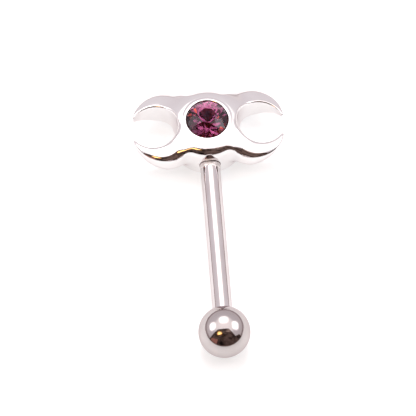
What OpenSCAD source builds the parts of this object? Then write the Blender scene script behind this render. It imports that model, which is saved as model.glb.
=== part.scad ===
// Straight eyebrow barbell lying on a flat surface: a steel bar with a screw ball at one end,
// and at the other a cast ornament of a round stone between two outward-facing crescent moons.
// The bar runs along Y, the ornament's face looks up, and z = 0 is the surface.

/* [Bar] */
// Diameter of the bar
bar_d = 1.2; // [1.0:0.1:1.6]
// Bare length between the ball and the ornament
grip_l = 10.35; // [6:0.05:14]
// Height of the bar's centre where it is soldered to the ornament
joint_z = 1.13; // [0.9:0.01:1.4]
// Diameter of the threaded end at the bottom of its thread
thread_d = 0.89; // [0.8:0.01:1.0]
// Length of the threaded end
thread_l = 2.0; // [1.5:0.1:2.2]
// How far the solder stands out round the bar
solder_t = 0.06; // [0.03:0.01:0.1]

/* [Ball] */
// Diameter of the screw ball
ball_d = 3.15; // [3:0.05:4]
// Depth of the seat that takes the end of the bar
seat_depth = 0.15; // [0.1:0.01:0.3]
// Gap round the bar and its thread, on the radius
screw_gap = 0.03; // [0.02:0.01:0.06]

/* [Ornament] */
// Radius of the round boss that holds the stone
boss_r = 2.28; // [2.1:0.01:2.5]
// Height of the rim round the stone
rim_z = 2.69; // [2.5:0.01:2.8]
// Radius of the opening in the rim
rim_r = 1.26; // [1.2:0.01:1.3]
// Curvature radius of the boss's domed top
boss_dome = 5.5; // [5:0.1:8]
// Rounding of the boss's upper edge
boss_edge = 0.38; // [0.2:0.01:0.5]
// Rounding of the boss's lower edge
foot_edge = 0.3; // [0.1:0.01:0.4]
// Radius of a moon's outer curve
moon_r = 2.08; // [2.0:0.01:2.2]
// Distance from the stone to a moon's centre
moon_x = 2.56; // [2.5:0.01:2.62]
// Distance that a moon's two arms are spread from its middle line
arm_spread = 0.25; // [0.2:0.01:0.3]
// Height of a moon's top over its centre
moon_z = 2.24; // [2.15:0.01:2.3]
// Curvature radius of the moons' domed tops
moon_dome = 8; // [6:0.5:12]
// Angle at which each moon slopes down away from the stone
moon_droop = 3.5; // [1:0.5:6]
// Rounding of a moon's upper edge
moon_edge = 0.4; // [0.2:0.01:0.45]
// Rounding of a moon's lower edge
belly_edge = 0.7; // [0.4:0.01:0.8]
// Height of a moon's underside over the surface, before the back is rounded off
belly_z = 0.45; // [0.3:0.01:0.6]
// Radius of the round cut that opens a moon
cut_r = 1.45; // [1.4:0.01:1.5]
// Distance from the stone to the centre of that cut
cut_x = 3.29; // [3.25:0.01:3.35]
// Curvature radius of the rounded back
back_r = 9; // [8:0.5:12]
// How much of the back's curve is flattened where it rests
back_flat = 0.25; // [0.2:0.01:0.3]

/* [Stone] */
// Diameter of the stone
stone_d = 2.6; // [2.56:0.01:2.7]
// Radius of its table, to the corners
table_r = 0.52; // [0.45:0.01:0.75]
// Height of its table above the rim
table_rise = 0.47; // [0.4:0.01:0.5]
// Thickness of its girdle
girdle_t = 0.07; // [0.05:0.01:0.1]
// Number of main facets, on the crown and again on the pavilion
facets = 8; // [8:1:12]
// Slope of the main crown facets
crown_angle = 33; // [28:1:38]
// Slope of the main pavilion facets
pavilion_angle = 41; // [38:1:43]
// Gap between the stone and its seat
stone_gap = 0.03; // [0.02:0.01:0.05]

/* [Hidden] */
$fn = 96;

// Small overlap between solids that are joined, and how far cuts run past what they cut
eps = 0.01;
above = 2;

// Small sizes of the bar, its thread and its solder
bar_root = 0.8;
solder_l = 0.12;
thread_tip = 0.1;
bore_spare = 0.1;

// Bar and ball: distances along the bar run from the ornament's wall towards the ball
bar_r = bar_d / 2;
thread_r = thread_d / 2;
ball_r = ball_d / 2;
ball_s = grip_l + sqrt(ball_r * ball_r - bar_r * bar_r);
bar_tilt = asin((ball_r - joint_z) / ball_s);
bar_end_s = grip_l + seat_depth - screw_gap;
seat_s = grip_l + seat_depth;
bore_end_s = bar_end_s + thread_l + bore_spare;

// Places along Y, with the whole length centred on the origin
moon_half = moon_r + arm_spread;
total_l = ball_r + ball_s * cos(bar_tilt) + boss_r + moon_half;
stone_y = total_l / 2 - moon_half;
wall_y = stone_y - boss_r;

// The boss's dome passes through the rim, and the back's curve is cut flat where it rests
boss_top_z = rim_z - sqrt(boss_dome * boss_dome - rim_r * rim_r) + boss_dome;
back_z = back_r - back_flat;

// How far out the lower ends of the main pavilion facets lie, as a share of the stone's radius
lower_share = 0.45;

// Stone: heights and radii of its parts
stone_r = stone_d / 2;
table_z = rim_z + table_rise;
girdle_top_z = table_z - (stone_r - table_r) * tan(crown_angle);
girdle_low_z = girdle_top_z - girdle_t;
culet_z = girdle_low_z - stone_r * tan(pavilion_angle);
seat_r = stone_r + stone_gap;
star_r = (table_r + stone_r) / 2;
lower_r = stone_r * lower_share;

// Moves its children onto the bar's axis, +Z towards the ball, from the ornament's wall
module along_bar() {
    translate([0, wall_y, joint_z]) rotate([90 - bar_tilt, 0, 0]) children();
}

// A domed disc with rounded edges: the dome and the upper rounding meet at the same slope
module domed_disc(r, dome, top_z, low_z, top_edge, low_edge) {
    edge_z = top_z - dome + sqrt(pow(dome - top_edge, 2) - pow(r - top_edge, 2));
    rotate_extrude() {
        intersection() {
            union() {
                intersection() {
                    translate([0, top_z - dome]) circle(r = dome);
                    translate([0, low_z]) square([r - top_edge, top_z - low_z]);
                }
                translate([r - top_edge, edge_z]) circle(r = top_edge);
                translate([0, low_z]) square([r - low_edge, edge_z - low_z]);
                translate([0, low_z + low_edge]) square([r, edge_z - low_z - low_edge]);
                translate([r - low_edge, low_z + low_edge]) circle(r = low_edge);
            }
            translate([0, low_z]) square([r, top_z - low_z]);
        }
    }
}

// One tilted disc: each crescent arm is the part of such a disc that the cut leaves
module arm_disc(side, end) {
    translate([side * moon_x, end * arm_spread, moon_z]) rotate([0, side * moon_droop, 0]) {
        domed_disc(moon_r, moon_dome, 0, belly_z - moon_z, moon_edge, belly_edge);
    }
}

// Both moons before they are opened, each disc cut by the curved back of the whole ornament
module moon_blanks() {
    for (side = [-1, 1], end = [-1, 1]) {
        intersection() {
            arm_disc(side, end);
            translate([0, 0, back_z]) sphere(r = back_r, $fn = 128);
        }
    }
}

// The round cuts that turn the discs into crescents open to the sides
module moon_cuts() {
    for (side = [-1, 1]) {
        translate([side * cut_x, 0, -eps]) cylinder(r = cut_r, h = rim_z + above);
    }
}

// The pocket under the rim, shaped like the stone with a small gap all round
module stone_pocket() {
    rotate_extrude() {
        polygon([
            [0, culet_z - stone_gap],
            [seat_r, girdle_low_z - stone_gap],
            [seat_r, girdle_top_z + stone_gap],
            [rim_r, girdle_top_z + stone_gap + (seat_r - rim_r) * tan(crown_angle)],
            [rim_r, rim_z + above],
            [0, rim_z + above],
        ]);
    }
}

// The cast ornament: boss and crescents in one, with the stone's pocket
module ornament() {
    translate([0, stone_y, 0]) {
        difference() {
            union() {
                domed_disc(boss_r, boss_dome, boss_top_z, 0, boss_edge, foot_edge);
                moon_blanks();
            }
            moon_cuts();
            stone_pocket();
        }
    }
}

// The bar with its threaded end and the solder where it meets the ornament
module bar() {
    along_bar() {
        translate([0, 0, -bar_root]) cylinder(r = bar_r, h = bar_root + bar_end_s);
        translate([0, 0, bar_end_s - eps]) cylinder(r = thread_r, h = thread_l + eps - thread_tip);
        translate([0, 0, bar_end_s + thread_l - thread_tip]) {
            cylinder(r1 = thread_r, r2 = thread_r - thread_tip, h = thread_tip);
        }
        translate([0, 0, -solder_l]) cylinder(r1 = bar_r + solder_t, r2 = bar_r, h = 2 * solder_l);
    }
}

// The ornament and the bar, soldered into one piece
module moon_bar() {
    color("gainsboro") union() {
        ornament();
        bar();
    }
}

// The screw ball, with the seat for the bar and the blind hole for its thread
module screw_ball() {
    color("silver") along_bar() {
        difference() {
            translate([0, 0, ball_s]) sphere(r = ball_r);
            cylinder(r = bar_r + screw_gap, h = seat_s);
            cylinder(r = thread_r + screw_gap, h = bore_end_s);
        }
    }
}

// Points of one ring of the stone, evenly spaced from a starting angle
function stone_ring(count, start, r, z) =
    [for (k = [0 : count - 1]) let (a = start + k * 360 / count) [r * cos(a), r * sin(a), z]];

// The cut stone: a table, then star, main and upper facets, the girdle and the pavilion.
// Star and lower corners lie in the planes of the main facets beside them.
module stone() {
    n = facets;
    half = 180 / n;
    star_z = table_z - (star_r * cos(half) - table_r) * tan(crown_angle);
    lower_z = culet_z + lower_r * cos(half) * tan(pavilion_angle);
    points = concat(
        stone_ring(n, 0, table_r, table_z),
        stone_ring(n, half, star_r, star_z),
        stone_ring(2 * n, 0, stone_r, girdle_top_z),
        stone_ring(2 * n, 0, stone_r, girdle_low_z),
        stone_ring(n, half, lower_r, lower_z),
        [[0, 0, culet_z]]
    );
    // First point of each ring
    star = n;
    top = 2 * n;
    low = 4 * n;
    lower = 6 * n;
    culet = 7 * n;
    faces = concat(
        [[for (k = [n - 1 : -1 : 0]) k]],
        [for (k = [0 : n - 1]) let (next = (k + 1) % n) [k, next, star + k]],
        [for (k = [0 : n - 1]) let (last = (k + n - 1) % n) [star + last, k, star + k, top + 2 * k]],
        [for (k = [0 : n - 1]) [top + 2 * k, star + k, top + 2 * k + 1]],
        [for (k = [0 : n - 1]) [top + 2 * k + 1, star + k, top + (2 * k + 2) % (2 * n)]],
        [for (j = [0 : 2 * n - 1]) let (next = (j + 1) % (2 * n)) [top + j, top + next, low + next, low + j]],
        [for (k = [0 : n - 1]) [low + 2 * k, low + 2 * k + 1, lower + k]],
        [for (k = [0 : n - 1]) [low + 2 * k + 1, low + (2 * k + 2) % (2 * n), lower + k]],
        [for (k = [0 : n - 1]) let (last = (k + n - 1) % n) [culet, lower + last, low + 2 * k, lower + k]]
    );
    color("rebeccapurple") translate([0, stone_y, 0]) polyhedron(points = points, faces = faces);
}

moon_bar();
screw_ball();
stone();
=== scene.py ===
"""Looks of a straight eyebrow barbell that lies on a white surface.

A polished steel bar carries a screw ball at one end. At the other it is soldered to a cast silver
ornament: a domed boss that holds a round purple stone, between two outward-facing crescent moons.
Sizes are in millimetres up to the point where a mesh is made, which is in metres.
"""
import itertools
import math

import bpy
import numpy as np
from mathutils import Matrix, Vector


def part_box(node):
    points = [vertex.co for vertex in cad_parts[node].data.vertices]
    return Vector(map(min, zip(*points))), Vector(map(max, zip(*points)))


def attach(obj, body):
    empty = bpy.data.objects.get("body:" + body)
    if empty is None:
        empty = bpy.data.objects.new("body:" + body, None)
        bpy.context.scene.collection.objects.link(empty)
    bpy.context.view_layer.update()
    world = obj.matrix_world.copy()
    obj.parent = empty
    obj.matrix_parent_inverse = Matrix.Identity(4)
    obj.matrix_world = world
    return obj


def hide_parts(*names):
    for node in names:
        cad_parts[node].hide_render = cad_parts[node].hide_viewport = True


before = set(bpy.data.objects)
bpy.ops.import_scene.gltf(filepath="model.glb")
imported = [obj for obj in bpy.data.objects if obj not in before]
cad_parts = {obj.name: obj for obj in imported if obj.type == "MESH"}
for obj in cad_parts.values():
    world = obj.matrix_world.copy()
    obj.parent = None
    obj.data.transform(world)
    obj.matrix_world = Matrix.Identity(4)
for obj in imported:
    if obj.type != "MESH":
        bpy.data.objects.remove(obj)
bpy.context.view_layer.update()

MM = 0.001

# Bar. It reaches into the ornament by its root, and its last plain ring is short of its end
BAR_R = 0.6
BAR_ROOT = 0.3
BAR_EDGE = 0.03
BAR_LAST = 0.1
BAR_RINGS = 34
BAR_SIDES = 96
GRIP_L = 10.35
JOINT_Z = 1.13

# Ball, with the seat for the bar's end and a blind hole that ends in a cone
SEAT_DEPTH = 0.15
END_GAP = 0.03
MOUTH_EDGE = 0.04
SEAT_EDGE = 0.02
SEAT_CORNER = 0.01
BORE_SPARE = 0.12
BORE_START = 0.04
BORE_CONE_L = 0.2
BORE_CONE_R = 0.05
POLE_ANGLE = 0.02
BALL_RINGS = 110
BALL_SIDES = 128

# Screw thread, on the bar and with a gap in the ball. It fades in and out over two lengths, between
# a plain neck and a rounded tip
THREAD_L = 2.0
THREAD_PITCH = 0.25
THREAD_STEP = THREAD_PITCH / 10
THREAD_MAJOR_R = 0.57
THREAD_MINOR_R = 0.47
THREAD_GAP = 0.03
THREAD_FADE = (0.12, 0.2)
THREAD_END = 0.1
NECK_L = 0.05
NECK_EDGE = 0.02
TIP_L = 0.09
TIP_EDGE = 0.08
TIP_INSET = 0.12

# Boss. Its foot goes down to the surface, and its face falls away from the rim
BOSS_R = 2.28
BOSS_SHIFT = 0.08
RIM_Z = 2.69
RIM_R = 1.3
BOSS_FALL = 0.3
FOOT_EDGE = 0.3
FOOT_TOP = 1.5
FOOT_TOP_EDGE = 0.1

# Moons. Each arm has its own arc, since the casting is not quite even: near left, near right,
# far left, far right
MOON_X = 2.58
ARM_R = (2.09, 2.12, 2.12, 2.11)
ARM_X = (2.52, 2.62, 2.42, 2.61)
ARM_SPREAD = 0.27
MOON_Z = 2.27
MOON_DOME = 8.0
MOON_FLAT = 10.0
MOON_ROLL = 0.03
MOON_DROOP = math.radians(3.5)
BELLY_EDGE = 0.7
BELLY_CREASE = 0.1
BELLY_Z = 0.45
BACK_R = 9.0
BACK_FLAT = 0.25

# Round cuts that open the moons, and the gaps between their tips: left and right
CUT_R = 1.42
CUT_X = (3.22, 3.23)
CUT_FLAT = 1.05
GAP_HALF = (0.7, 0.6)
GAP_Y = (0.0, -0.1)
GAP_START = 3.6
GAP_EDGE = 0.1

# Rounding of the cuts, on the bar's side and the far side, and at the moons' tips. The sides blend
# over the middle, and the tips begin at a distance from a moon's centre
CUT_EDGE_FAR = 0.13
CUT_EDGE_NEAR = 0.3
CUT_TIP_EDGE_FAR = 0.09
CUT_TIP_EDGE_NEAR = 0.2
FAR_BLEND = 0.4
TIP_START = 0.6
TIP_END = 1.9

# Rounding of the face's outer edge, by distance from the middle line: on the bar's side and the
# far side
FACE_EDGE_AT = (0.0, 1.0, 1.45, 1.95, 2.4, 2.9, 3.6, 4.3)
FACE_EDGE_NEAR = (0.38, 0.34, 0.26, 0.46, 0.38, 0.29, 0.25, 0.16)
FACE_EDGE_FAR = (0.38, 0.34, 0.26, 0.46, 0.38, 0.27, 0.17, 0.08)

# How softly the boss and the moons flow into each other: in plan, over the top and underneath
NOTCH_FILLET = 0.3
SADDLE = 0.75
UNDER_FILLET = 0.2
UNDER_REACH = 0.3

# Pocket under the rim, and the low lip round it
POCKET_R = 1.26
POCKET_GAP = 0.04
POCKET_SKIN = 0.01
LIP_EDGE = 0.09
LIP_RISE = 0.03
LIP_IN = 1.36
LIP_OUT = 1.56

# Stone
STONE_SLACK = 0.055
STONE_TURN = math.radians(11)
TABLE_R = 0.52
TABLE_RISE = 0.47
GIRDLE_T = 0.07
FACETS = 8
CROWN_ANGLE = math.radians(33)
PAVILION_ANGLE = math.radians(41)
LOWER_SHARE = 0.3

# Solder: a collar, and a line of painted shade in its corner. Its waves have a count, a size and a
# start
SOLDER_L = 0.36
SOLDER_RISE = 0.022
SOLDER_LINE = 0.045
SOLDER_DEPTH = 0.1
SOLDER_STEP = 0.01
SOLDER_BACK = 0.04
SOLDER_FRONT = 0.08
SOLDER_SIDES = 96
SOLDER_WAVES = ((2, 0.12, 0.7), (5, 0.08, 2.1))

# Skin of the ornament: size of the grid, rounds that settle it, the least slope that they count
# with, and how far apart two places are that give a slope
NET_STEP = 0.045
NET_ROUNDS = 4
LEAST_SLOPE = 0.25
FACE_REACH = 0.01
SLOPE_REACH = 0.002

# Metals: the two ends of the tint, the lowest and highest roughness, and how deep the waviness and
# the hairlines go, in metres
METALS = {
    "silver": ((0.96, 0.945, 0.945), (0.92, 0.90, 0.90), 0.02, 0.07, 5e-6, 6e-8),
    "steel": ((0.80, 0.765, 0.765), (0.75, 0.70, 0.70), 0.03, 0.09, 8e-7, 8e-8),
    "ball_steel": ((0.61, 0.57, 0.565), (0.57, 0.525, 0.52), 0.06, 0.13, 8e-7, 4e-8),
    "solder": ((0.95, 0.93, 0.92), (0.84, 0.80, 0.78), 0.45, 0.6, 4e-6, 4e-7),
    # Dark metal for the solder's corner: painted shade of the crevice between collar and wall
    "crevice_shade_metal": ((0.16, 0.10, 0.10), (0.05, 0.03, 0.03), 0.35, 0.6, 4e-6, 4e-7),
    # The pocket under the stone: darker, warmer metal, painted shade in the recess
    "pocket_shade_metal": ((0.75, 0.42, 0.28), (0.30, 0.14, 0.12), 0.25, 0.5, 4e-6, 4e-7),
}
METAL_RIM = (0.8, 0.74, 0.75)
# Noise in the metals: lumps in a metre, detail, and how much finer it is along each axis
TINT_NOISE = (700, 3)
WIPE_NOISE = (9000, 4, (1, 1, 6))
WAVE_NOISE = (900, 1)
HAIR_NOISE = (16000, 3, (1, 1, 8))
# The part of a noise's range that the tint, the roughness and the stage's mottle run over
TINT_RANGE = (0.35, 0.7)
WIPE_RANGE = (0.3, 0.7)
MOTTLE_RANGE = (0.35, 0.65)

# Crystal
CRYSTAL_IOR = 1.76
CRYSTAL_GLOSS = (0.6, 0.56, 0.62)
CRYSTAL_COLOUR = (0.61, 0.22, 0.45)
CRYSTAL_DENSITY = 1250

# Camera: the ball's centre lies this many pixels from the middle of the 416-pixel image. The scale,
# in pixels to the millimetre, holds a little further away than the ball
VIEW_TURN = math.radians(4.2)
VIEW_RISE = math.radians(60.8)
VIEW_SCALE = 16.6
IMAGE_SIDE = 416
BALL_RIGHT = 16.34
BALL_DOWN = 123.45
VIEW_DISTANCE = 1000.0
SCALE_DEPTH = 3.4
SENSOR = 36.0
CLIP_START = 0.01

# Studio. The tent's colours go by the sine of the elevation
TENT = (
    (0.0, (0.26, 0.19, 0.20)),
    (0.08, (0.40, 0.32, 0.33)),
    (0.19, (0.76, 0.68, 0.69)),
    (0.30, (0.72, 0.65, 0.68)),
    (0.68, (0.78, 0.72, 0.75)),
    (0.80, (1.18, 1.10, 1.10)),
    (0.97, (1.38, 1.25, 1.25)),
)
# Softboxes and lamps: name, azimuth from straight behind, elevation, distance, size, feather,
# level and colour
SOFT_BOXES = (
    ("top_box", -2, 63, 600, (530, 510), 225, 2.3, (1.0, 0.99, 0.98)),
    ("left_box", -81, 38, 600, (470, 420), 190, 3.0, (1.0, 0.97, 0.95)),
    ("right_box", 85, 42, 600, (490, 430), 190, 3.0, (1.0, 0.98, 0.98)),
    ("warm_lamp", -146, 47, 425, (220, 200), 98, 4.5, (1.0, 0.55, 0.18)),
    ("dim_lamp", 148, 60, 480, (260, 200), 95, 0.3, (1.0, 0.7, 0.6)),
)
# Lights that no surface mirrors: name, place, side and level
FILLS = (
    ("over_fill", (0, 60, 900), 620, 1.1),
    ("front_fill", (0, -600, 580), 360, 6.5),
)
# Stage surfaces: colour, roughness, the mottle's darkest and lightest share of the colour, its lumps
# in a metre, and gloss
STAGE = {
    "floor_white": ((0.93, 0.925, 0.93), 0.2, 0.99, 1.0, 60, 0.5),
    "wall_dark": ((0.085, 0.058, 0.05), 0.9, 0.1, 1.7, 9, 0.0),
    "card_warm": ((0.42, 0.20, 0.16), 0.9, 0.8, 1.0, 20, 0.0),
    "card_blue": ((0.10, 0.30, 0.46), 0.9, 0.9, 1.0, 20, 0.0),
}
# Upright cards on the camera's side: name, left, right, top, place along Y and material
CARDS = (
    ("dark_wall", -536, 298, 960, -250, "wall_dark"),
    ("low_wall", 298, 620, 170, -250, "wall_dark"),
    ("warm_card", -430, -160, 115, -248, "card_warm"),
)
# Flat pieces: name, left, right, near, far, height and material. The metal mirrors the apron
FLOOR = ("floor", -900, 900, -900, 900, 0, "floor_white")
APRON = ("dark_apron", -536, 298, -250, -26, 0.1, "wall_dark")
# Dull card that the stone's table mirrors
FLAG_DISTANCE = 560.0
FLAG_R = 13.0
FLAG_SIDES = 12
# How an overexposed floor shows: the share of its shading that is left, and the glow over it, in
# the picture and in the metal
FLOOR_SHARE = (0.58, 0.47)
FLOOR_GLOW = (0.58, 0.64)

# Places that the frame gives
ball_low, ball_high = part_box("screw_ball")
stone_low, stone_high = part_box("stone")
BALL_R = (ball_high.z - ball_low.z) / 2 / MM
BALL = np.array([0, ball_low.y / MM + BALL_R, BALL_R])
STONE_R = (stone_high.x - stone_low.x) / 2 / MM
STONE_Y = (stone_high.y + stone_low.y) / 2 / MM
JOINT = np.array([0, STONE_Y - BOSS_R, JOINT_Z])
TABLE_Z = RIM_Z + TABLE_RISE
GIRDLE_Z = TABLE_Z - (STONE_R - TABLE_R) * math.tan(CROWN_ANGLE)
CULET_Z = GIRDLE_Z - GIRDLE_T - STONE_R * math.tan(PAVILION_ANGLE)
BALL_S = float(np.linalg.norm(BALL - JOINT))
ALONG = (BALL - JOINT) / BALL_S
SIDE = np.array([1.0, 0, 0])
ACROSS = np.cross(ALONG, SIDE)


def make_object(name, points, faces, material, body, nodes, normals=None, smooth=True):
    """A mesh object from points in millimetres, riding on a body and standing for CAD nodes."""
    mesh = bpy.data.meshes.new(name)
    mesh.from_pydata((np.asarray(points) * MM).tolist(), [], [list(f) for f in faces])
    mesh.update()
    mesh.shade_smooth() if smooth else mesh.shade_flat()
    if normals is not None:
        mesh.normals_split_custom_set_from_vertices(np.asarray(normals).tolist())
    mesh.materials.append(material)
    piece = bpy.data.objects.new(name, mesh)
    bpy.context.scene.collection.objects.link(piece)
    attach(piece, body)
    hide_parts(*nodes)
    return piece


# Distance fields, in millimetres: negative inside a solid

def round_max(a, b, radius):
    """What two solids share, with a rounded edge where they cross."""
    corner = np.hypot(np.maximum(a + radius, 0), np.maximum(b + radius, 0))
    return np.minimum(np.maximum(a, b), -radius) + corner


def round_min(a, b, radius):
    """Two solids joined, with a fillet where they meet."""
    return -round_max(-a, -b, radius)


def soft_step(value, low, high):
    """0 below low, 1 above high, and smooth between them."""
    share = np.clip((value - low) / (high - low), 0, 1)
    return share * share * (3 - 2 * share)


def on_side(x, pair):
    """The left or the right one of a pair of values."""
    return np.where(x < 0, *pair)


def on_arm(x, y, four):
    """The value for the arm nearest to a place: near left, near right, far left or far right."""
    return np.where(y < 0, on_side(x, four[:2]), on_side(x, four[2:]))


def moons_field(x, y):
    """Distance in plan from the outline of the crescents, before they are cut open."""
    out = np.abs(x) - on_arm(x, y, ARM_X)
    return np.hypot(out, np.maximum(np.abs(y) - ARM_SPREAD, 0)) - on_arm(x, y, ARM_R)


def top_height(x, y):
    """Height of the casting's face: the boss falls away from its rim into the drooping moons."""
    r = np.hypot(x, y)
    boss = RIM_Z - BOSS_FALL * np.maximum(r - RIM_R, 0) ** 2
    boss = boss - LIP_RISE * (soft_step(r, LIP_IN, LIP_OUT) - 1)
    out = np.abs(x) - MOON_X
    moon = MOON_Z - math.tan(MOON_DROOP) * out - MOON_ROLL * x
    moon = moon - out ** 2 / (2 * MOON_DOME) - y ** 2 / (2 * MOON_FLAT)
    near = np.maximum(SADDLE - np.abs(boss - moon), 0)
    return np.maximum(boss, moon) + near ** 3 / (6 * SADDLE ** 2)


def face_field(x, y, z):
    """Distance from the casting's face."""
    height = top_height(x, y)
    slope_x = (top_height(x + FACE_REACH, y) - height) / FACE_REACH
    slope_y = (top_height(x, y + FACE_REACH) - height) / FACE_REACH
    return (z - height) / np.sqrt(1 + slope_x ** 2 + slope_y ** 2)


def belly_field(x, y, z):
    """Distance from the moons' underside, which follows the curve of the whole back."""
    out = np.abs(x) - MOON_X
    plane = BELLY_Z - math.tan(MOON_DROOP) * out - z
    back = np.sqrt(x * x + y * y + (z - BACK_R + BACK_FLAT) ** 2) - BACK_R
    return round_max(plane, back, BELLY_CREASE)


def pocket_field(x, y, z):
    """How deep a point lies in the stone's pocket: a round wall over a cone under the pavilion."""
    r = np.hypot(x, y)
    cone = (z - CULET_Z) * math.cos(PAVILION_ANGLE) - r * math.sin(PAVILION_ANGLE) + POCKET_GAP
    return np.minimum(POCKET_R - r, cone)


def solid_field(x, y, z, far):
    """The casting before it is cut: boss, foot and moons. far is 1 on the far side."""
    boss = np.hypot(x, y + BOSS_SHIFT) - BOSS_R
    moon = moons_field(x, y)
    edge = np.interp(np.abs(x), FACE_EDGE_AT, FACE_EDGE_NEAR) * (1 - far)
    edge = edge + np.interp(np.abs(x), FACE_EDGE_AT, FACE_EDGE_FAR) * far
    plate = round_max(face_field(x, y, z), round_min(boss, moon, NOTCH_FILLET), edge)
    plate = round_max(plate, belly_field(x, y, z), BELLY_EDGE)
    foot = round_max(round_max(boss, z - FOOT_TOP, FOOT_TOP_EDGE), -z, FOOT_EDGE)
    fillet = UNDER_FILLET * np.clip((UNDER_REACH - moon) / UNDER_REACH, 0, 1)
    return round_min(plate, foot, fillet)


def ornament_field(x, y, z):
    """The whole casting, about the stone's axis."""
    far = soft_step(y, -FAR_BLEND, FAR_BLEND)
    tip = soft_step(np.abs(x) - MOON_X, TIP_START, TIP_END)
    body = solid_field(x, y, z, far)
    opening = CUT_R - np.hypot(np.abs(x) - on_side(x, CUT_X), CUT_FLAT * y)
    cut_edge = CUT_EDGE_NEAR + (CUT_EDGE_FAR - CUT_EDGE_NEAR) * far
    tip_edge = CUT_TIP_EDGE_NEAR + (CUT_TIP_EDGE_FAR - CUT_TIP_EDGE_NEAR) * far
    body = round_max(body, opening, cut_edge + (tip_edge - cut_edge) * tip)
    gap = on_side(x, GAP_HALF) - np.abs(y - on_side(x, GAP_Y))
    body = round_max(body, np.minimum(gap, np.abs(x) - GAP_START), GAP_EDGE)
    return round_max(body, pocket_field(x, y, z), LIP_EDGE)


# Skin of a field: one point in each grid cell that its surface crosses

def net_points(value, axes, step):
    """The skin's points, and the number of the point in each cell."""
    shape = np.array(value.shape) - 1
    total = np.zeros(shape)
    place = np.zeros((3, *shape))

    def part(corner):
        return value[tuple(slice(c, c + n) for c, n in zip(corner, shape))]

    for corner, axis in itertools.product(itertools.product((0, 1), repeat=3), range(3)):
        if corner[axis]:
            continue
        other = tuple(c + (a == axis) for a, c in enumerate(corner))
        first, last = part(corner), part(other)
        crossed = (first < 0) != (last < 0)
        share = np.where(crossed, first / np.where(crossed, first - last, 1), 0)
        total += crossed
        for a in range(3):
            place[a] += crossed * (corner[a] + (share if a == axis else 0))
    active = total > 0
    number = np.full(shape, -1)
    number[active] = np.arange(active.sum())
    cells = np.argwhere(active)
    points = [axes[a][cells[:, a]] + step * (place[a][active] / total[active]) for a in range(3)]
    return np.array(points).T, number


def net_quads(inside, number):
    """One quad round each grid edge that the surface crosses, facing outwards."""
    quads = []
    for axis in range(3):
        b, c = (axis + 1) % 3, (axis + 2) % 3
        ahead = [slice(1, -1)] * 3
        ahead[axis] = slice(0, -1)
        beyond = list(ahead)
        beyond[axis] = slice(1, None)
        first, last = inside[tuple(ahead)], inside[tuple(beyond)]
        where = np.argwhere(first != last)
        out = first[tuple(where.T)]
        for a in (b, c):
            where[:, a] += 1
        around = []
        for db, dc in ((0, 0), (-1, 0), (-1, -1), (0, -1)):
            cell = where.copy()
            cell[:, b] += db
            cell[:, c] += dc
            around.append(number[tuple(cell.T)])
        around = np.array(around).T
        around[~out] = around[~out][:, ::-1]
        quads.append(around)
    return np.concatenate(quads)


def gradient(field, points):
    """How a field grows at each point."""
    result = np.zeros_like(points)
    for a in range(3):
        step = np.zeros(3)
        step[a] = SLOPE_REACH
        result[:, a] = (field(*(points + step).T) - field(*(points - step).T)) / (2 * SLOPE_REACH)
    return result


def surface_net(field, low, high, step):
    """Points, quads and normals of a field's surface."""
    axes = [np.arange(a - step, b + 2 * step, step) for a, b in zip(low, high)]
    value = field(*np.meshgrid(*axes, indexing="ij"))
    points, number = net_points(value, axes, step)
    quads = net_quads(value < 0, number)
    for _ in range(NET_ROUNDS):
        slope = gradient(field, points)
        move = field(*points.T) / np.maximum((slope ** 2).sum(1), LEAST_SLOPE)
        points -= np.clip(move, -step / 2, step / 2)[:, None] * slope
    slope = gradient(field, points)
    return points, quads, slope / np.linalg.norm(slope, axis=1)[:, None]


# Pieces that are turned round the bar's axis

def turned(s, r, name, material, body, nodes):
    """A closed skin round the bar's axis. s and r give a place and a size for each ring and angle."""
    count, sides = r.shape
    angle = np.arange(sides) * 2 * math.pi / sides
    spokes = SIDE * np.cos(angle)[:, None] + ACROSS * np.sin(angle)[:, None]
    points = JOINT + ALONG * s[..., None] + spokes * r[..., None]
    ends = [JOINT + ALONG * s[0].mean(), JOINT + ALONG * s[-1].mean()]
    faces = []
    for j in range(sides):
        k = (j + 1) % sides
        for i in range(count - 1):
            faces.append((i * sides + j, (i + 1) * sides + j, (i + 1) * sides + k, i * sides + k))
        faces.append((count * sides, j, k))
        faces.append((count * sides + 1, (count - 1) * sides + k, (count - 1) * sides + j))
    if s[0].mean() < s[-1].mean():
        faces = [face[::-1] for face in faces]
    points = np.vstack([points.reshape(-1, 3), ends])
    return make_object(name, points, faces, material, body, nodes)


def quarter(start, end, bulge, count=6):
    """Places along a quarter round from start to end, each (s, r). bulge is the rounded corner."""
    t = np.linspace(0, math.pi / 2, count)
    start, end, bulge = np.array(start), np.array(end), np.array(bulge)
    centre = start + end - bulge
    first, last = start - centre, end - centre
    return [tuple(centre + first * math.cos(a) + last * math.sin(a)) for a in t]


def skin_of(profile, sides, thread):
    """Arrays for turned(). thread(s, angle) gives the size where the profile's is None."""
    angle = np.arange(sides) * 2 * math.pi / sides
    s = np.repeat(np.array([place for place, _ in profile])[:, None], sides, axis=1)
    r = np.zeros_like(s)
    for i, (place, size) in enumerate(profile):
        r[i] = thread(place, angle) if size is None else size
    return s, r


def thread_r(s, angle, start, end):
    """Radius of the screw thread, which fades out at both ends."""
    phase = s / THREAD_PITCH - angle / (2 * math.pi)
    crest = 0.5 - 0.5 * np.cos(2 * math.pi * phase)
    fade = np.clip((s - start) / THREAD_FADE[0], 0, 1) * np.clip((end - s) / THREAD_FADE[1], 0, 1)
    return THREAD_MINOR_R + (THREAD_MAJOR_R - THREAD_MINOR_R) * crest * fade


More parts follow.
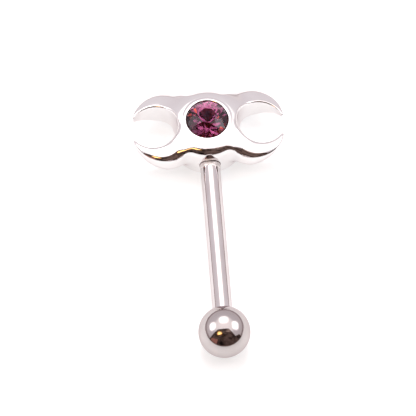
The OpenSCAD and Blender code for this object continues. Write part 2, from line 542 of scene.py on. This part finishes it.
def make_bar(material):
    """The bar, with its root in the ornament and its threaded end."""
    end_s = GRIP_L + SEAT_DEPTH - END_GAP
    tip_s = end_s + THREAD_L
    start, end = end_s + NECK_L, tip_s - THREAD_END
    neck_r = THREAD_MINOR_R
    profile = [(place, BAR_R) for place in np.linspace(-BAR_ROOT, end_s - BAR_LAST, BAR_RINGS)]
    profile += quarter((end_s - BAR_EDGE, BAR_R), (end_s, BAR_R - BAR_EDGE), (end_s, BAR_R), 5)
    profile += [(end_s, neck_r + NECK_EDGE), (end_s + NECK_EDGE, neck_r)]
    profile += [(place, None) for place in np.arange(start, end, THREAD_STEP)]
    profile += [(tip_s - TIP_L, neck_r)]
    profile += quarter((tip_s - TIP_EDGE, neck_r), (tip_s, neck_r - TIP_EDGE), (tip_s, neck_r))
    profile += [(tip_s, neck_r - TIP_INSET)]

    def thread(place, angle):
        return thread_r(place, angle, start, end)

    s, r = skin_of(profile, BAR_SIDES, thread)
    return turned(s, r, "bar", material, "barbell", ["moon_bar"])


def make_ball(material):
    """The screw ball: sphere, rounded mouth, seat and threaded blind hole in one skin."""
    seat_s = GRIP_L + SEAT_DEPTH
    seat_r = BAR_R + THREAD_GAP
    mouth_r = seat_r + MOUTH_EDGE
    mouth_angle = math.asin(mouth_r / BALL_R)
    mouth_s = BALL_S - BALL_R * math.cos(mouth_angle)
    bore_end = seat_s + THREAD_L + BORE_SPARE
    start, end = seat_s + BORE_START, bore_end - THREAD_END
    core_r = THREAD_MINOR_R + THREAD_GAP
    angles = np.linspace(POLE_ANGLE, math.pi - mouth_angle, BALL_RINGS)
    profile = [(BALL_S + BALL_R * math.cos(a), BALL_R * math.sin(a)) for a in angles]
    profile += quarter((mouth_s, mouth_r), (mouth_s + MOUTH_EDGE, seat_r), (mouth_s, seat_r))[1:]
    profile += [(seat_s - SEAT_EDGE, seat_r), (seat_s, seat_r - SEAT_CORNER)]
    profile += [(seat_s, core_r + SEAT_EDGE), (seat_s + SEAT_EDGE, core_r)]
    profile += [(place, None) for place in np.arange(start, end, THREAD_STEP)]
    profile += [(bore_end, core_r), (bore_end + SEAT_EDGE, core_r - SEAT_EDGE)]
    profile += [(bore_end + BORE_CONE_L, BORE_CONE_R)]

    def thread(place, angle):
        return THREAD_GAP + thread_r(place, angle, start, end)

    s, r = skin_of(profile, BALL_SIDES, thread)
    return turned(s, r, "ball", material, "ball", ["screw_ball"])


def make_solder(material, crevice_shade_material):
    """The solder: a dull collar round the bar, against the boss's wall, and painted shade in the
    corner.
    """
    angle = np.arange(SOLDER_SIDES) * 2 * math.pi / SOLDER_SIDES
    wander = sum((size * np.sin(count * angle + start) for count, size, start in SOLDER_WAVES), 1)
    high, low = SOLDER_RISE + SOLDER_STEP, SOLDER_RISE - SOLDER_STEP
    dark_rise = SOLDER_RISE + 2 * SOLDER_STEP
    corner = [(-SOLDER_DEPTH, dark_rise), (SOLDER_STEP, dark_rise), (SOLDER_LINE, high)]
    edge_s, back_s = SOLDER_LINE + SOLDER_STEP, SOLDER_LINE + SOLDER_BACK
    front_s = SOLDER_L - SOLDER_FRONT
    collar = [(SOLDER_LINE, low)]
    collar += quarter((edge_s, low), (back_s, SOLDER_RISE), (edge_s, SOLDER_RISE))
    collar += quarter((front_s, SOLDER_RISE), (SOLDER_L, -SOLDER_STEP), (SOLDER_L, SOLDER_RISE), 8)
    profile = [(-SOLDER_DEPTH, -SOLDER_DEPTH)] + corner + collar + [(SOLDER_L, -SOLDER_DEPTH)]
    rise = np.array([size for _, size in profile])[:, None]
    out = np.array([place for place, _ in profile])[:, None]
    r = BAR_R + rise * np.where(rise > 0, wander, 1)
    wall = BOSS_R - np.sqrt(BOSS_R ** 2 - (r * np.cos(angle)) ** 2) - BOSS_SHIFT
    s = out * wander - wall
    piece = turned(s, r, "solder", material, "barbell", ["moon_bar"])
    # The corner's faces take the dark metal of the painted shade
    piece.data.materials.append(crevice_shade_material)
    dark_end = (len(corner) + 2) * SOLDER_SIDES
    for face in piece.data.polygons:
        face.material_index = int(max(face.vertices) < dark_end)
    return piece


def make_ornament(material, pocket_shade_material):
    """The casting: boss and moons in one skin, from its distance field, with painted shade in the
    pocket: darker, warmer metal under the stone.
    """
    reach, width = max(ARM_X) + max(ARM_R), max(ARM_R) + ARM_SPREAD
    points, quads, normals = surface_net(
        ornament_field, (-reach, -width, 0), (reach, width, RIM_Z), NET_STEP)
    middle = points[quads].mean(axis=1)
    pocket = np.hypot(middle[:, 0], middle[:, 1]) < POCKET_R + POCKET_SKIN
    pocket &= middle[:, 2] < GIRDLE_Z
    points = points + np.array([0, STONE_Y, 0])
    piece = make_object("ornament", points, quads.tolist(), material, "barbell", ["moon_bar"],
                        normals)
    # The pocket's faces below the girdle take the darker metal of painted shade
    piece.data.materials.append(pocket_shade_material)
    piece.data.polygons.foreach_set("material_index", pocket.astype(int))
    return piece


def ring(count, start, r, z):
    """Points of a ring, evenly spaced from a starting angle."""
    angles = [start + k * 2 * math.pi / count for k in range(count)]
    return [(r * math.cos(a), r * math.sin(a), z) for a in angles]


def stone_points():
    """Corners of the brilliant: table, star facets, girdle, lower facets and culet."""
    n = FACETS
    half = math.pi / n
    edge_r = STONE_R - STONE_SLACK
    star_r = (TABLE_R + edge_r) / 2
    star_z = TABLE_Z - (star_r * math.cos(half) - TABLE_R) * math.tan(CROWN_ANGLE)
    edge_z = TABLE_Z - (edge_r - TABLE_R) * math.tan(CROWN_ANGLE)
    low_z = edge_z - GIRDLE_T
    culet_z = low_z - edge_r * math.tan(PAVILION_ANGLE)
    lower_r = edge_r * LOWER_SHARE
    lower_z = culet_z + lower_r * math.cos(half) * math.tan(PAVILION_ANGLE)
    turn, half_turn = STONE_TURN, STONE_TURN + half
    return (ring(n, turn, TABLE_R, TABLE_Z) + ring(n, half_turn, star_r, star_z)
            + ring(2 * n, turn, edge_r, edge_z) + ring(2 * n, turn, edge_r, low_z)
            + ring(n, half_turn, lower_r, lower_z) + [(0, 0, culet_z)])


def make_stone(material):
    """The round brilliant: table, star, main and upper facets, girdle and pavilion."""
    n = FACETS
    star, top, low, lower, culet = n, 2 * n, 4 * n, 6 * n, 7 * n
    faces = [tuple(range(n))]
    for k in range(n):
        after, before = (k + 1) % n, (k - 1) % n
        mid, last = 2 * k + 1, (2 * k + 2) % (2 * n)
        faces += [
            (after, k, star + k),
            (k, star + before, top + 2 * k, star + k),
            (star + k, top + 2 * k, top + mid),
            (star + k, top + mid, top + last),
            (low + mid, low + 2 * k, lower + k),
            (low + last, low + mid, lower + k),
            (lower + before, culet, lower + k, low + 2 * k),
        ]
    for j in range(2 * n):
        after = (j + 1) % (2 * n)
        faces.append((top + after, top + j, low + j, low + after))
    points = np.array(stone_points()) + np.array([0, STONE_Y, 0])
    return make_object("gem", points, faces, material, "barbell", ["stone"],
                       smooth=False)


# Materials

def new_material(name):
    """A material with an empty node tree, its shader and its output."""
    material = bpy.data.materials.new(name)
    material.use_nodes = True
    nodes = material.node_tree.nodes
    nodes.clear()
    shader = nodes.new("ShaderNodeBsdfPrincipled")
    output = nodes.new("ShaderNodeOutputMaterial")
    material.node_tree.links.new(shader.outputs["BSDF"], output.inputs["Surface"])
    return material, nodes, material.node_tree.links, shader, output


def noise(nodes, links, scale, detail=2.0, stretch=None):
    """A noise texture in the object's own space, where scale is the number of lumps in a metre."""
    place = nodes.new("ShaderNodeTexCoord")
    texture = nodes.new("ShaderNodeTexNoise")
    texture.inputs["Scale"].default_value = scale
    texture.inputs["Detail"].default_value = detail
    source = place.outputs["Object"]
    if stretch:
        mapping = nodes.new("ShaderNodeMapping")
        mapping.inputs["Scale"].default_value = stretch
        links.new(source, mapping.inputs["Vector"])
        source = mapping.outputs["Vector"]
    links.new(source, texture.inputs["Vector"])
    return texture.outputs["Fac"]


def spread(nodes, links, source, low, high, out_low, out_high, interpolation="LINEAR"):
    """Maps a value from one range to another."""
    node = nodes.new("ShaderNodeMapRange")
    node.interpolation_type = interpolation
    ends = zip(("From Min", "From Max", "To Min", "To Max"), (low, high, out_low, out_high))
    for name, value in ends:
        node.inputs[name].default_value = value
    links.new(source, node.inputs["Value"])
    return node.outputs["Result"]


def mix_colour(nodes, links, factor, first, second):
    """A colour between two constant ones."""
    tint = nodes.new("ShaderNodeMix")
    tint.data_type = "RGBA"
    tint.inputs["A"].default_value = (*first, 1)
    tint.inputs["B"].default_value = (*second, 1)
    links.new(factor, tint.inputs["Factor"])
    return tint.outputs["Result"]


def polished_metal(name, light, dark, smooth, rough, wave, hairline):
    """Polished metal: a slight tint change, wiped hairlines, a faint waviness and a duller rim."""
    material, nodes, links, shader, _ = new_material(name)
    shader.inputs["Metallic"].default_value = 1.0
    shader.inputs["Specular Tint"].default_value = (*METAL_RIM, 1)
    cloud = spread(nodes, links, noise(nodes, links, *TINT_NOISE), *TINT_RANGE, 0, 1)
    links.new(mix_colour(nodes, links, cloud, light, dark), shader.inputs["Base Color"])
    fine = spread(nodes, links, noise(nodes, links, *WIPE_NOISE), *WIPE_RANGE, smooth, rough)
    links.new(fine, shader.inputs["Roughness"])
    soft = nodes.new("ShaderNodeBump")
    soft.inputs["Distance"].default_value = wave
    links.new(noise(nodes, links, *WAVE_NOISE), soft.inputs["Height"])
    sharp = nodes.new("ShaderNodeBump")
    sharp.inputs["Distance"].default_value = hairline
    links.new(noise(nodes, links, *HAIR_NOISE), sharp.inputs["Height"])
    links.new(soft.outputs["Normal"], sharp.inputs["Normal"])
    links.new(sharp.outputs["Normal"], shader.inputs["Normal"])
    return material


def cut_stone(name):
    """Clear dark purple crystal that takes its colour from its depth."""
    material, nodes, links, shader, output = new_material(name)
    shader.inputs["Base Color"].default_value = (1, 1, 1, 1)
    shader.inputs["Roughness"].default_value = 0.0
    shader.inputs["IOR"].default_value = CRYSTAL_IOR
    shader.inputs["Specular Tint"].default_value = (*CRYSTAL_GLOSS, 1)
    shader.inputs["Transmission Weight"].default_value = 1.0
    depth = nodes.new("ShaderNodeVolumeAbsorption")
    depth.inputs["Color"].default_value = (*CRYSTAL_COLOUR, 1)
    depth.inputs["Density"].default_value = CRYSTAL_DENSITY
    links.new(depth.outputs["Volume"], output.inputs["Volume"])
    return material


def stage_material(name):
    """A plain surface of the stage with a faint mottle."""
    colour, roughness, low, high, lumps, gloss = STAGE[name]
    material, nodes, links, shader, _ = new_material(name)
    mottle = spread(nodes, links, noise(nodes, links, lumps), *MOTTLE_RANGE, 0, 1)
    ends = [[c * share for c in colour] for share in (low, high)]
    links.new(mix_colour(nodes, links, mottle, *ends), shader.inputs["Base Color"])
    shader.inputs["Roughness"].default_value = roughness
    shader.inputs["Specular IOR Level"].default_value = gloss
    return material


def overexpose(material):
    """Softens the shadows on the floor, in the picture and in the metal's reflections."""
    nodes, links = material.node_tree.nodes, material.node_tree.links
    shader = next(node for node in nodes if node.type == "BSDF_PRINCIPLED")
    path = nodes.new("ShaderNodeLightPath")
    colour = shader.inputs["Base Color"].links[0].from_socket
    glow = None
    for ray, share, level in zip(("Is Camera Ray", "Is Glossy Ray"), FLOOR_SHARE, FLOOR_GLOW):
        dim = nodes.new("ShaderNodeVectorMath")
        dim.operation = "SCALE"
        links.new(colour, dim.inputs[0])
        links.new(spread(nodes, links, path.outputs[ray], 0, 1, 1, share), dim.inputs["Scale"])
        colour = dim.outputs["Vector"]
        lift = nodes.new("ShaderNodeMath")
        lift.operation = "MULTIPLY_ADD"
        links.new(path.outputs[ray], lift.inputs[0])
        lift.inputs[1].default_value = level
        lift.inputs[2].default_value = 0.0
        if glow:
            links.new(glow, lift.inputs[2])
        glow = lift.outputs["Value"]
    links.new(colour, shader.inputs["Base Color"])
    shader.inputs["Emission Color"].default_value = (1, 1, 1, 1)
    links.new(glow, shader.inputs["Emission Strength"])


def vector_node(nodes, links, operation, first, second=None):
    """One step of vector arithmetic. The second value is a constant."""
    node = nodes.new("ShaderNodeVectorMath")
    node.operation = operation
    links.new(first, node.inputs[0])
    if second:
        node.inputs[1].default_value = second
    return node.outputs["Value" if operation == "LENGTH" else "Vector"]


def box_material(name, size, feather, level, colour):
    """The glow of a softbox: bright in the middle and fading over the width of its feather."""
    material = bpy.data.materials.new(name)
    material.use_nodes = True
    nodes, links = material.node_tree.nodes, material.node_tree.links
    nodes.clear()
    place = nodes.new("ShaderNodeTexCoord")
    half = [(side / 2 - feather) * MM for side in size]
    beyond = vector_node(nodes, links, "ABSOLUTE", place.outputs["Object"])
    beyond = vector_node(nodes, links, "SUBTRACT", beyond, (*half, 0))
    beyond = vector_node(nodes, links, "MAXIMUM", beyond, (0, 0, 0))
    beyond = vector_node(nodes, links, "LENGTH", beyond)
    glow = nodes.new("ShaderNodeEmission")
    glow.inputs["Color"].default_value = (*colour, 1)
    fade = spread(nodes, links, beyond, 0, feather * MM, level, 0, "SMOOTHSTEP")
    links.new(fade, glow.inputs["Strength"])
    clear = nodes.new("ShaderNodeBsdfTransparent")
    both = nodes.new("ShaderNodeAddShader")
    links.new(glow.outputs["Emission"], both.inputs[0])
    links.new(clear.outputs["BSDF"], both.inputs[1])
    output = nodes.new("ShaderNodeOutputMaterial")
    links.new(both.outputs["Shader"], output.inputs["Surface"])
    return material


# Studio and camera

def stage_plane(name, corners, material):
    """A flat piece of the studio, from its corners in millimetres."""
    mesh = bpy.data.meshes.new(name)
    mesh.from_pydata([Vector(corner) * MM for corner in corners], [], [tuple(range(len(corners)))])
    mesh.materials.append(material)
    plane = bpy.data.objects.new(name, mesh)
    bpy.context.scene.collection.objects.link(plane)
    return plane


def level_plane(name, left, right, near, far, z, material):
    """A level piece of the studio."""
    corners = [(left, near, z), (right, near, z), (right, far, z), (left, far, z)]
    return stage_plane(name, corners, material)


def upright_card(name, left, right, top, y, material):
    """An upright card that stands on the floor, out of the camera's sight."""
    corners = [(left, y, 0), (right, y, 0), (right, y, top), (left, y, top)]
    stage_plane(name, corners, material).visible_camera = False


def soft_box(name, azimuth, elevation, distance, size, feather, level, colour):
    """A softbox that faces the part, out of the camera's sight."""
    material = box_material(name, size, feather, level, colour)
    w, h = size[0] / 2, size[1] / 2
    box = stage_plane(name, [(-w, -h, 0), (w, -h, 0), (w, h, 0), (-w, h, 0)], material)
    turn, rise = math.radians(azimuth), math.radians(elevation)
    level_x, level_y = math.sin(turn) * math.cos(rise), math.cos(turn) * math.cos(rise)
    toward = Vector((level_x, level_y, math.sin(rise)))
    box.location = toward * distance * MM
    box.rotation_euler = toward.to_track_quat("Z", "Y").to_euler()
    box.visible_camera = False


def fill_light(name, place, side, level):
    """A square light aimed at the part, whose face has the given brightness and isn't mirrored."""
    light = bpy.data.lights.new(name, "AREA")
    light.shape = "RECTANGLE"
    light.size = light.size_y = side * MM
    light.energy = level * math.pi * light.size * light.size_y
    lamp = bpy.data.objects.new(name, light)
    lamp.location = Vector(place) * MM
    lamp.rotation_euler = (-Vector(place)).to_track_quat("-Z", "Y").to_euler()
    lamp.visible_camera = lamp.visible_glossy = False
    bpy.context.scene.collection.objects.link(lamp)


def make_world():
    """The pale tent round the part, lighter towards the top."""
    world = bpy.data.worlds.new("tent")
    world.use_nodes = True
    nodes, links = world.node_tree.nodes, world.node_tree.links
    place = nodes.new("ShaderNodeTexCoord")
    split = nodes.new("ShaderNodeSeparateXYZ")
    links.new(place.outputs["Generated"], split.inputs["Vector"])
    ramp = nodes.new("ShaderNodeValToRGB")
    links.new(split.outputs["Z"], ramp.inputs["Fac"])
    stops = ramp.color_ramp.elements
    stops[0].position, stops[1].position = TENT[0][0], TENT[-1][0]
    for position, _ in TENT[1:-1]:
        stops.new(position)
    for stop, (_, colour) in zip(stops, TENT):
        stop.color = (*colour, 1)
    links.new(ramp.outputs["Color"], nodes["Background"].inputs["Color"])
    bpy.context.scene.world = world


def eye_place():
    """The camera's place, and the way back to it from the part."""
    c, s = math.cos(VIEW_TURN), math.sin(VIEW_TURN)
    back = Vector((-s * math.cos(VIEW_RISE), -c * math.cos(VIEW_RISE), math.sin(VIEW_RISE)))
    right = Vector((c, -s, 0))
    up = back.cross(right)
    target = Vector(BALL) - right * (BALL_RIGHT / VIEW_SCALE) + up * (BALL_DOWN / VIEW_SCALE)
    return target + back * VIEW_DISTANCE, back


def make_flag(material):
    """A small dull card that keeps the stone's table dark, where the table mirrors the camera."""
    table = Vector((0, STONE_Y, TABLE_Z))
    away = eye_place()[0] - table
    away = Vector((-away.x, -away.y, away.z)).normalized()
    flag = stage_plane("flag", ring(FLAG_SIDES, 0, FLAG_R, 0), material)
    flag.location = (table + away * FLAG_DISTANCE) * MM
    flag.rotation_euler = away.to_track_quat("Z", "Y").to_euler()
    flag.visible_camera = flag.visible_diffuse = flag.visible_shadow = False


def make_studio():
    """White floor, pale tent, softboxes and lamps, and the dark cards on the camera's side."""
    surface = {name: stage_material(name) for name in STAGE}
    overexpose(surface["floor_white"])
    level_plane(*FLOOR[:-1], surface[FLOOR[-1]])
    for card in CARDS:
        upright_card(*card[:-1], surface[card[-1]])
    apron = level_plane(*APRON[:-1], surface[APRON[-1]])
    apron.visible_camera = apron.visible_diffuse = apron.visible_shadow = False
    make_flag(surface["card_blue"])
    for box in SOFT_BOXES:
        soft_box(*box)
    for fill in FILLS:
        fill_light(*fill)
    make_world()


def make_camera():
    """A long lens at the photograph's angle, with the ball where the photograph has it."""
    place, back = eye_place()
    camera = bpy.data.cameras.new("camera")
    camera.sensor_width = SENSOR
    camera.lens = SENSOR * (VIEW_DISTANCE + SCALE_DEPTH) * VIEW_SCALE / IMAGE_SIDE
    camera.clip_start = CLIP_START
    eye = bpy.data.objects.new("camera", camera)
    eye.location = place * MM
    eye.rotation_euler = back.to_track_quat("Z", "Y").to_euler()
    bpy.context.scene.collection.objects.link(eye)
    bpy.context.scene.camera = eye


bpy.context.scene.view_settings.view_transform = "Standard"
bpy.context.scene.view_settings.look = "None"

metals = {name: polished_metal(name, *values) for name, values in METALS.items()}
make_camera()
make_studio()
make_ornament(metals["silver"], metals["pocket_shade_metal"])
make_bar(metals["steel"])
make_solder(metals["solder"], metals["crevice_shade_metal"])
make_ball(metals["ball_steel"])
make_stone(cut_stone("purple_crystal"))
